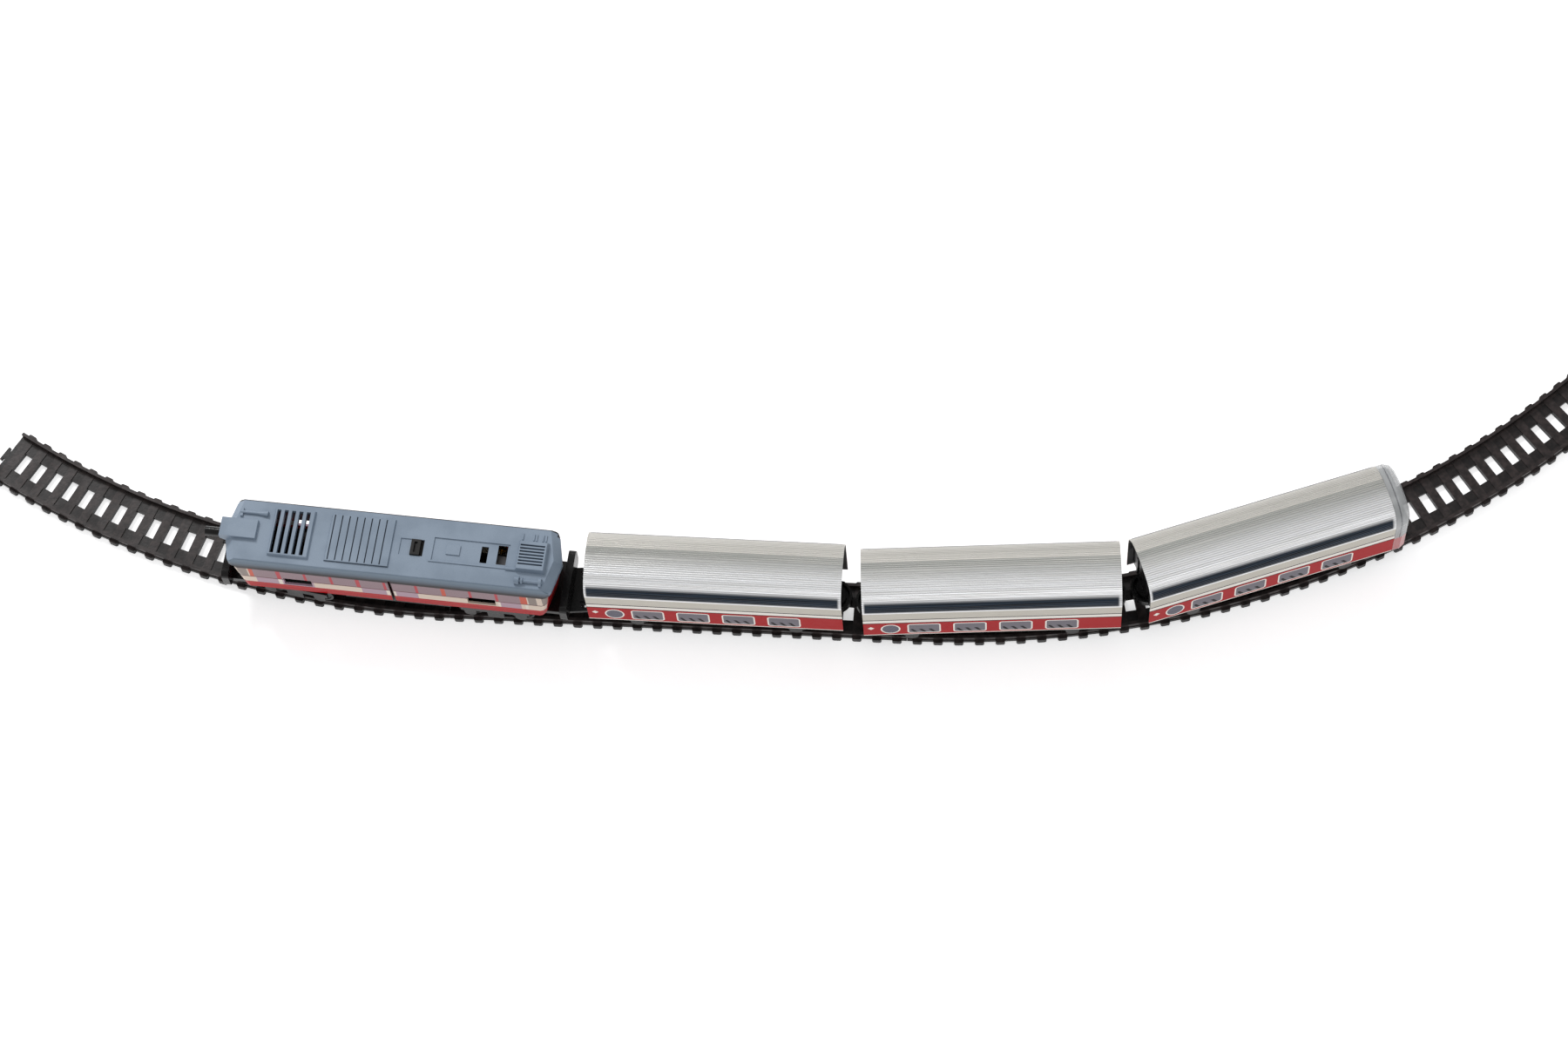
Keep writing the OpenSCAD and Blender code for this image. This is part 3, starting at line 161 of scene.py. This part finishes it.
track_tops = moulded("track_styrene", tint(24, 22, 22), tint(40, 35, 35), 0.42)
_, _, z = track_tops.place()
flat = z.rise(2.4, SLEEPER_TOP)
dust = track_tops.noise(0.35, 4.0).rise(0.35, 0.7)
sides = track_tops.mix(dust, tint(17, 16, 17), tint(27, 24, 24))
track_tops.use("Base Color", track_tops.mix(flat * (dust * 0.5 + 0.3), sides, tint(62, 53, 52)))
track_tops.on("left_curve_track", "straight_track", "right_curve_track_1", "right_curve_track_2")


# ---------------------------------------------------------------- locomotive chassis
# The black tray that everything screws to: floor, battery box, bearing plates and the two
# shiny guards across the ends. The bogie frame and the battery cover are the same moulding.
joints = {j["name"]: j for j in frame["joints"]}


def axle_line(name):
    """Place and heading of a wheelset's joint: its axis is the vehicle's own Y."""
    joint = joints[name]
    return np.array(joint["pos_m"]), math.atan2(-joint["axis"][0], joint["axis"][1])


drive_a, loco_turn = axle_line("front_drive_spin")
drive_b, _ = axle_line("rear_drive_spin")
loco_centre = (np.array(joints["front_bogie_swivel"]["pos_m"]) + (drive_a + drive_b) / 2)[:2] / 2
moulded("chassis_styrene", tint(14, 13, 14), tint(24, 22, 23), 0.24, loco_centre, loco_turn).on(
    "loco_chassis", "battery_cover")
bogie_at, bogie_turn = axle_line("bogie_axle_1_spin")
moulded("bogie_styrene", tint(16, 15, 16), tint(30, 27, 28), 0.34, bogie_at[:2], bogie_turn).on(
    "front_bogie_frame")


# ---------------------------------------------------------------- wheels and axles
# Wheels are black nylon with a polished tread, pressed on plain steel axles; the driven
# pair carries soft grip rings.
def turned_steel(name):
    made = Finish(name, Metallic=1.0)
    made.place()
    streak = made.noise(2.0, 3.0, (1, 8, 1))
    made.use("Base Color", made.mix(streak, tint(150, 150, 154), tint(205, 205, 208)))
    made.use("Roughness", streak * 0.2 + 0.22)
    made.bump(streak, 0.02)
    return made


turned_steel("axle_steel").on(
    "front_drive_axle", "rear_drive_axle", "bogie_axle_1", "bogie_axle_2", "gear_shafts",
    *[f"coach_{k}_{end}_axle" for k in (1, 2, 3) for end in ("front", "rear")])
moulded("wheel_nylon", tint(17, 16, 17), tint(38, 35, 35), 0.36).on(
    "front_drive_wheels", "rear_drive_wheels", "bogie_wheels_1", "bogie_wheels_2",
    *[f"coach_{k}_{end}_wheels" for k in (1, 2, 3) for end in ("front", "rear")])
moulded("grip_rubber", tint(30, 29, 29), tint(44, 42, 42), 0.8, grain=2.5).on(
    "front_drive_tyres", "rear_drive_tyres")


# ---------------------------------------------------------------- drive
# A can motor lies across the tray. Natural nylon gears step it down to both rear axles.
moulded("gear_nylon", tint(226, 220, 204), tint(206, 198, 178), 0.45).on(
    "reduction_gear", "idler_gear", "front_axle_gear", "rear_axle_gear")
can = Finish("motor_can", Metallic=1.0)
can.place(loco_centre, loco_turn)
roll = can.noise(1.2, 3.0, (1, 0.1, 1))
can.use("Base Color", can.mix(roll, tint(96, 96, 100), tint(134, 132, 132)))
can.use("Roughness", roll * 0.25 + 0.25)
can.on("motor")
brass = Finish("brass_stock", Metallic=1.0)
brass.place()
stain = brass.noise(0.9, 4.0)
brass.use("Base Color", brass.mix(stain, tint(196, 160, 88), tint(170, 128, 62)))
brass.use("Roughness", stain * 0.25 + 0.25)
brass.on("motor_pinion", "switch_contact")
turned_steel("screw_steel").on("body_screws", "front_bogie_screw", "battery_contacts")


# ---------------------------------------------------------------- battery
# One standard cell in a plain two-tone printed wrap, with a bare steel button.
CELL_TOP = 23.6
BAND_START, BAND_END = 10.0, 22.5
cell = Finish("cell_wrap", Coat_Weight=0.5)
x, _, _ = cell.place(loco_centre, loco_turn)
cap_end = x.rise(CELL_TOP, CELL_TOP + 0.1)
band = x.between(BAND_START, BAND_END)
cell_colour = cell.mix(band, tint(44, 84, 66), tint(190, 150, 70))
cell.use("Base Color", cell.mix(cap_end, cell_colour, tint(190, 190, 194)))
cell.use("Metallic", cap_end.either(band * 0.6))
cell.use("Roughness", cell.noise(0.4) * 0.15 + 0.25)
cell.on("battery_cell")


# ---------------------------------------------------------------- body shells
# Two glossy shells meet at the middle. A printed film runs along each side: a row of
# windows over a row of panels, a red band below, and plain red noses.
# heights of the printed rows, above the table
RED_TOP, PANEL_TOP, WINDOW_TOP = 25.5, 31.4, 40.6
BODY_HALF = 90
BOW_X, BOW_HALF_Y = 76.3, 15.2  # the noses start here, and their plain part is this wide
body = Finish("body_film", Specular_IOR_Level=0.1, Coat_Weight=0.04, Coat_Roughness=0.12)
x, y, z = body.place(loco_centre, loco_turn)
RED, ROSE = tint(166, 8, 18), tint(184, 58, 66)
CREAM, LILAC = tint(214, 196, 180), tint(172, 146, 160)
GLAZE, AMBER, PALE = tint(146, 124, 130), tint(200, 84, 58), tint(222, 210, 198)


def along(*marks):
    """Colours laid along the body: each starts at its place in mm and lasts to the next."""
    stops = [((at + BODY_HALF) / (2 * BODY_HALF), colour) for at, colour in marks]
    return body.node("ValToRGB", {"stops": stops}, Fac=(x + BODY_HALF) / (2 * BODY_HALF))


SHADE = tint(140, 128, 120)
marks = [(-90, RED), (-83, PALE), (-79.4, CREAM), (-78.6, SHADE), (-73.8, CREAM), (-72.9, AMBER)]
for start in (-70.5, -56.6, -43.1, -30.1, -16.0):
    marks += [(start, GLAZE), (start + 12.1, ROSE)]
marks += [(-2.2, GLAZE), (12.2, ROSE), (14.0, GLAZE), (26.0, AMBER), (27.8, GLAZE), (39.4, ROSE),
          (41.2, GLAZE), (52.9, ROSE), (54.7, GLAZE), (65.8, AMBER), (69.2, CREAM), (70.0, SHADE),
          (74.0, CREAM), (77.0, SHADE), (80.6, CREAM), (82.2, RED)]
windows = along(*marks)
panels = along((-90, RED), (-82, CREAM), (-70, LILAC), (-58.5, PALE), (-56.5, LILAC), (-40.5, CREAM),
               (-16, LILAC), (-3, PALE), (0, PALE), (1.6, LILAC), (13, CREAM), (53.6, PALE),
               (55.4, LILAC), (66, CREAM), (68, PALE), (69, CREAM), (82, RED))
dots = body.noise(3.0, 2.0)
windows = body.mix(dots.rise(0.5, 0.62) * 0.35, windows, tint(112, 84, 94))
lined = (z.between(23.2, 24.3) + z.between(20.7, 21.1)) * 0.4
skin = body.mix(z.rise(PANEL_TOP - 0.05, PANEL_TOP + 0.05), panels, windows)
skin = body.mix(z.between(PANEL_TOP - 0.2, PANEL_TOP + 0.5), skin, tint(92, 44, 48))
skin = body.mix(z < RED_TOP, skin, body.mix(lined, RED, tint(198, 54, 54)))
# painted shadow: a dark strip along the top of each side, under the roof edge
skin = body.mix(z > WINDOW_TOP, skin, tint(40, 34, 38))
nose = abs(x).rise(BOW_X - 0.1, BOW_X + 0.1) * (abs(y) < BOW_HALF_Y)
front = body.mix(z.between(30.5, 31.6), tint(158, 20, 26), tint(188, 54, 54))
front = body.mix(z > 42.0, front, CREAM)
skin = body.mix(nose, skin, front)
skin = body.mix(abs(x) < 0.9, skin, tint(60, 24, 26))
body.use("Base Color", skin)
body.use("Roughness", body.noise(0.25, 3.0) * 0.14 + 0.24)
body.bump(body.noise(1.6, 2.0), 0.03)
body.on("front_body_shell", "rear_body_shell")
pane = Finish("screen_gloss", Coat_Weight=0.4, Coat_Roughness=0.04)
_, y, _ = pane.place(loco_centre, loco_turn)
glint = (abs(y).between(5.2, 5.9) + abs(y).between(10.8, 11.3)) * 0.6
pane.use("Base Color", pane.mix(glint, tint(16, 16, 18), tint(92, 90, 92)))
pane.use("Roughness", pane.noise(0.3) * 0.1 + 0.1)
pane.on("front_windscreen", "rear_windscreen")


# ---------------------------------------------------------------- roof
# Blue-grey polypropylene with a fine spark-eroded skin. Painted shade darkens the grooves, the lower
# part of the roof sides, the lip below the roof edge and the deep openings, and a thin line of
# painted shade runs along the far rim.
FLAT_TOP, ROOF_EDGE, RIM_Y = 50.5, 44.1, 16.0
roof = Finish("roof_skin", Specular_IOR_Level=0.35)
x, y, z = roof.place(loco_centre, loco_turn)
haze = roof.noise(0.05, 4.0)
skin_grain = roof.noise(2.2, 3.0)
top = roof.mix(haze.rise(0.35, 0.65), tint(124, 139, 156), tint(136, 151, 168))
top = roof.mix(skin_grain.rise(0.5, 0.75) * 0.18, top, tint(94, 106, 121))
# painted shade in the grooves of the raised panel
groove_shade = (abs(y) < 13.2) * x.between(-32.4, 0.0) * z.between(FLAT_TOP + 0.1, FLAT_TOP + 0.6)
top = roof.mix(groove_shade, top, tint(52, 62, 76))
# painted shade on the sloped roof sides, darker towards the foot
side_shade = roof.mix(z.rise(ROOF_EDGE - 0.1, 49.0), tint(56, 66, 78), tint(104, 121, 137))
top = roof.mix(abs(y).rise(16.35, 16.6) * z.rise(52.0, 50.4), top, side_shade)
# painted shade on the lip below the roof edge
top = roof.mix(z < ROOF_EDGE, top, tint(38, 44, 52))
# painted shade: a thin dark line along the far rim and round the far corner
far_rim_shade = y.rise(RIM_Y - 0.1, RIM_Y + 0.1) * (z > 46.0)
far_corner_shade = y.rise(14.0, 14.4) * x.rise(81.0, 81.6)
top = roof.mix(far_rim_shade.either(far_corner_shade), top, tint(36, 38, 44))
# painted shade deep inside the roof's openings
opening_shade = (z < FLAT_TOP - 1.1) * (abs(y) < 14.0) * (abs(x) < 79)
top = roof.mix(opening_shade, top, tint(20, 22, 26))
roof.use("Base Color", top)
roof.use("Roughness", skin_grain * 0.15 + 0.38)
roof.bump(skin_grain, 0.06)
roof.on("loco_roof")


# ---------------------------------------------------------------- headlamp and switch
# A black tube sticks out from under the hood with a clear lens at its tip; the on-off knob
# is a ridged black slide.
moulded("lamp_tube", tint(13, 13, 14), tint(24, 23, 24), 0.22, loco_centre, loco_turn).on(
    "headlamp_barrel")
lens = Finish("lamp_lens", Transmission_Weight=0.85, IOR=1.49)
lens.place(loco_centre, loco_turn)
lens.use("Base Color", lens.mix(lens.noise(0.8), tint(240, 240, 232), tint(220, 222, 216)))
lens.use("Roughness", lens.noise(1.4) * 0.1 + 0.03)
lens.on("headlamp_lens")
moulded("knob_black", tint(13, 12, 12), tint(36, 31, 28), 0.5, loco_centre, loco_turn, 2.4).on(
    "switch_slider")


# ---------------------------------------------------------------- coaches
# Each shell is one sheet of fine longitudinal ribbing folded over a black tray. A printed
# strip runs along the foot of both sides: lining, a red ground, one oval and four windows.
GREY_REFLECTION, DARK_REFLECTION = tint(166, 167, 163), tint(8, 18, 28)
LABEL, INK, WHITE = tint(166, 10, 18), tint(8, 8, 9), tint(236, 231, 224)
# section of the sheet: upright sides, shoulders rolled about a line at SHOULDER_Y, a low crown
SPRING_Z, SHOULDER_Y, SHOULDER_R, CROWN_Y = 43.53, 6.0, 11.0, 9.4
RIB_PITCH = 1.06
STRIP_TOP, LABEL_TOP, FOOT_EDGE = 34.6, 30.0, 16.7
WINDOWS_START, WINDOWS_END, WINDOW_PITCH, WINDOW_Z = -45.2, 46.0, 22.8, 23.1
WINDOW_HALF_X, WINDOW_HALF_Z, WINDOW_CORNER, WINDOW_RIM = 8.3, 5.4, 1.8, 0.75
OVAL_X, DIAMOND_X, DIAMOND_Z = -50.5, -60.2, 24.5


def rounded(dx, dz, half_x, half_z, corner):
    """Distance outside a rounded rectangle: the root of the summed squares past its straight
    sides, less the corner radius."""
    over_x = abs(dx).above(half_x - corner)
    over_z = abs(dz).above(half_z - corner)
    squares = over_x * over_x + over_z * over_z
    return squares.math("SQRT", squares) - corner


def coach_sheet(k):
    """The ribbed sheet of one coach, with the middle of the coach and its heading."""
    front, turn = axle_line(f"coach_{k}_front_spin")
    rear, _ = axle_line(f"coach_{k}_rear_spin")
    middle = ((front + rear) / 2)[:2]
    metal = Finish(f"coach_{k}_sheet", Specular_IOR_Level=0.08)
    x, y, z = metal.place(middle, turn)
    # distance round the section: along y on the crown, by angle on the shoulder, by z below
    angle = z.math("ARCTAN2", z - SPRING_Z, abs(y) - SHOULDER_Y)
    on_shoulder = (z > SPRING_Z) * (abs(y) > CROWN_Y)
    on_side = z < SPRING_Z + 0.01
    on_crown = abs(y) < CROWN_Y + 0.0001
    around = (angle * SHOULDER_R * on_shoulder + on_side * (z - SPRING_Z)
              + on_crown * (16.0 + (CROWN_Y - abs(y))))
    wave = (around * (2 * math.pi / RIB_PITCH)).sin()
    streak = metal.noise(0.5, 5.0, (0.03, 1.4, 1.4))
    fine = metal.noise(1.5, 3.0, (0.02, 1.6, 1.6))

    # painted reflections on the sheet: pale beyond the crown, grey on top, a painted white highlight
    # above the shoulder, lighter painted streaks and a dark painted reflection on the shoulder
    shine = metal.mix(y.rise(5.1, 5.4), GREY_REFLECTION, tint(214, 211, 204))
    shine = metal.mix((0.0 - y).rise(-4.0, 9.0), shine, tint(252, 253, 255))
    shine = metal.mix(streak.rise(0.3, 0.7) * 0.4, shine, tint(212, 210, 204))
    ends = x.rise(-63.6, -62.4) - x.rise(61.8, 63.2) * 0.8
    dark = (around.rise(-1.2, 0.4) - around.rise(5.6, 8.6)) * ends
    dark_reflection = metal.mix(fine.rise(0.35, 0.65), DARK_REFLECTION, tint(34, 50, 66))
    shine = metal.mix(dark, shine, dark_reflection)
    # painted rib shade: darker lines along the ribs, weaker on the dark painted reflection
    shine = metal.mix((wave.rise(0.2, 1.0) * 0.3) * (1 - dark * 0.6), shine, tint(118, 120, 122))
    # the upright sides below the shoulder get their own painted tone, with painted rib shade
    side = metal.mix(wave.rise(0.0, 1.0) * 0.5, tint(186, 180, 166), tint(132, 128, 118))
    shine = metal.mix((z < 41.8) * 0.85, shine, side)

    # printed strip: two black lines, the label, its windows with seats behind them, an oval
    # and a small diamond
    strip = z < STRIP_TOP
    lines = z.between(LABEL_TOP, LABEL_TOP + 0.7).either(z.between(STRIP_TOP - 0.9, STRIP_TOP - 0.1))
    art = metal.mix(lines, WHITE, INK)
    ground = metal.mix(metal.noise(0.6) * 0.25, LABEL, tint(184, 40, 42))
    art = metal.mix(z < LABEL_TOP, art, ground)
    u = (x - WINDOWS_START) % WINDOW_PITCH - WINDOW_PITCH / 2
    edge = rounded(u, z - WINDOW_Z, WINDOW_HALF_X, WINDOW_HALF_Z, WINDOW_CORNER)
    seat = ((u + (z - 18.0) * 0.6) % 4.6 < 1.7) * (z < 22.4) * (abs(u) < 6.6)
    inside = metal.mix(seat, tint(116, 112, 120), tint(18, 16, 20))
    inside = metal.mix(z.between(24.6, 25.1), inside, tint(112, 108, 114))
    window = metal.mix(edge < -WINDOW_RIM, WHITE, inside)
    art = metal.mix((edge < 0.0) * x.between(WINDOWS_START, WINDOWS_END), art, window)
    dx, dz = x - OVAL_X, z - WINDOW_Z
    oval = dx * dx / 24.0 + dz * dz / 29.0
    hatch = metal.mix(((x + z) % 1.6 < 0.7) * 0.6, tint(112, 110, 122), tint(60, 60, 72))
    art = metal.mix(oval < 1.0, art, metal.mix(oval < 0.72, WHITE, hatch))
    art = metal.mix(abs(x - DIAMOND_X) + abs(z - DIAMOND_Z) < 1.7, art, WHITE)
    art = metal.mix(z < FOOT_EDGE, art, WHITE)

    inner_face = (abs(y) < 16.72) * (z < 43.0)
    outer = metal.mix(strip, shine, art)
    metal.use("Base Color", metal.mix(inner_face, outer, tint(120, 120, 120)))
    # no metal under the print or the dark painted reflection
    metal.use("Metallic", (1 - strip.either(dark)) * 0.85)
    metal.use("Roughness", strip * 0.08 + streak * 0.12 + 0.24)
    metal.bump(wave * (1 - strip) * 0.5 + fine * 0.1, 0.16)
    return metal, middle, turn


for k in (1, 2, 3):
    sheet, centre, turn = coach_sheet(k)
    sheet.on(f"coach_{k}_shell")
    moulded(f"coach_{k}_tray", tint(10, 10, 11), tint(22, 20, 21), 0.3, centre, turn).on(
        f"coach_{k}_chassis")


# ---------------------------------------------------------------- couplings
# Flat black drawbars hang on the pins under the platforms; the first is a wide deck.
moulded("drawbar_nylon", tint(15, 14, 15), tint(32, 29, 29), 0.36).on(
    "rear_drawbar", "coach_1_drawbar", "coach_2_drawbar")


# ---------------------------------------------------------------- tail cap
# A smoke-tinted clear cap plugs the last coach. The red strip runs on across its foot.
CAP_LIP = 66.6
cap = Finish("tail_smoke", IOR=1.49, Coat_Weight=0.6)
x, y, z = cap.place(centre, turn)
foot = z.between(FOOT_EDGE - 0.1, LABEL_TOP) * (abs(y) > 13.5)
cloud = cap.noise(0.2, 3.0)
smoke = cap.mix(cloud, tint(176, 179, 181), tint(200, 202, 203))
smoke = cap.mix(x.between(CAP_LIP, CAP_LIP + 0.6), smoke, tint(120, 122, 127))
cap.use("Base Color", cap.mix(foot, smoke, LABEL))
cap.use("Alpha", foot * 0.3 + 0.62)
cap.use("Roughness", cloud * 0.1 + 0.12)
cap.on("coach_3_tail_cap")


# ---------------------------------------------------------------- table, light and camera
# A white table under one broad soft lamp behind and above, seen from the front and high up.
def flat_sheet(name, wide, cells):
    """A flat square sheet: x and y run over a grid of equal cells, and z is zero."""
    x, y = np.meshgrid(*[np.linspace(-wide / 2, wide / 2, cells + 1)] * 2)
    points = np.stack([x, y, np.zeros_like(x)], -1).reshape(-1, 3)
    i, j = np.meshgrid(np.arange(cells), np.arange(cells))
    first = (j * (cells + 1) + i).ravel()
    faces = np.stack([first, first + 1, first + cells + 2, first + cells + 1], -1)
    mesh = bpy.data.meshes.new(name)
    mesh.from_pydata(points.tolist(), [], faces.tolist())
    thing = bpy.data.objects.new(name, mesh)
    bpy.context.scene.collection.objects.link(thing)
    return thing


table = flat_sheet("table_top", 12.0, 8)
laminate = Finish("table_laminate", Roughness=0.7, Emission_Strength=0.55)
laminate.place()
paper = laminate.mix(laminate.noise(0.01), tint(250, 250, 250), tint(246, 246, 247))
laminate.use("Base Color", paper)
laminate.use("Emission Color", paper)
table.data.materials.append(laminate.mat)

world = bpy.data.worlds.new("soft_room")
world.use_nodes = True
world.node_tree.nodes["Background"].inputs["Color"].default_value = (1.0, 1.0, 1.0, 1.0)
world.node_tree.nodes["Background"].inputs["Strength"].default_value = 0.5
bpy.context.scene.world = world


def soft_lamp(name, power, size, spot, aim):
    data = bpy.data.lights.new(name, "AREA")
    data.energy, data.size = power, size
    lamp = bpy.data.objects.new(name, data)
    bpy.context.scene.collection.objects.link(lamp)
    lamp.location = spot
    lamp.rotation_euler = (Vector(aim) - Vector(spot)).to_track_quat("-Z", "Y").to_euler()


soft_lamp("back_lamp", 30.0, 0.7, (-1.1, 1.5, 1.7), (0.1, 0.1, 0.0))
soft_lamp("top_lamp", 7.0, 1.2, (0.4, -0.2, 2.6), (0.0, 0.0, 0.0))

# the camera stands on the table's open side and is rolled a little
STAND = (0.2072, -0.7735, 1.7908)
CAMERA_ROLL = math.radians(-7.148)
camera = bpy.data.objects.new("camera", bpy.data.cameras.new("camera"))
bpy.context.scene.collection.objects.link(camera)
ahead = Vector((-0.07984, 0.41576, -0.90596)).normalized()
level = ahead.cross(Vector((0, 0, 1))).normalized()
upward = level.cross(ahead)
right = level * math.cos(CAMERA_ROLL) + upward * math.sin(CAMERA_ROLL)
over = upward * math.cos(CAMERA_ROLL) - level * math.sin(CAMERA_ROLL)
camera.matrix_world = Matrix.Translation(STAND) @ Matrix((right, over, -ahead)).transposed().to_4x4()
camera.data.sensor_width = 36.0
camera.data.lens = 88.73
camera.data.clip_end = 50.0
bpy.context.scene.camera = camera
bpy.context.scene.view_settings.view_transform = "Standard"
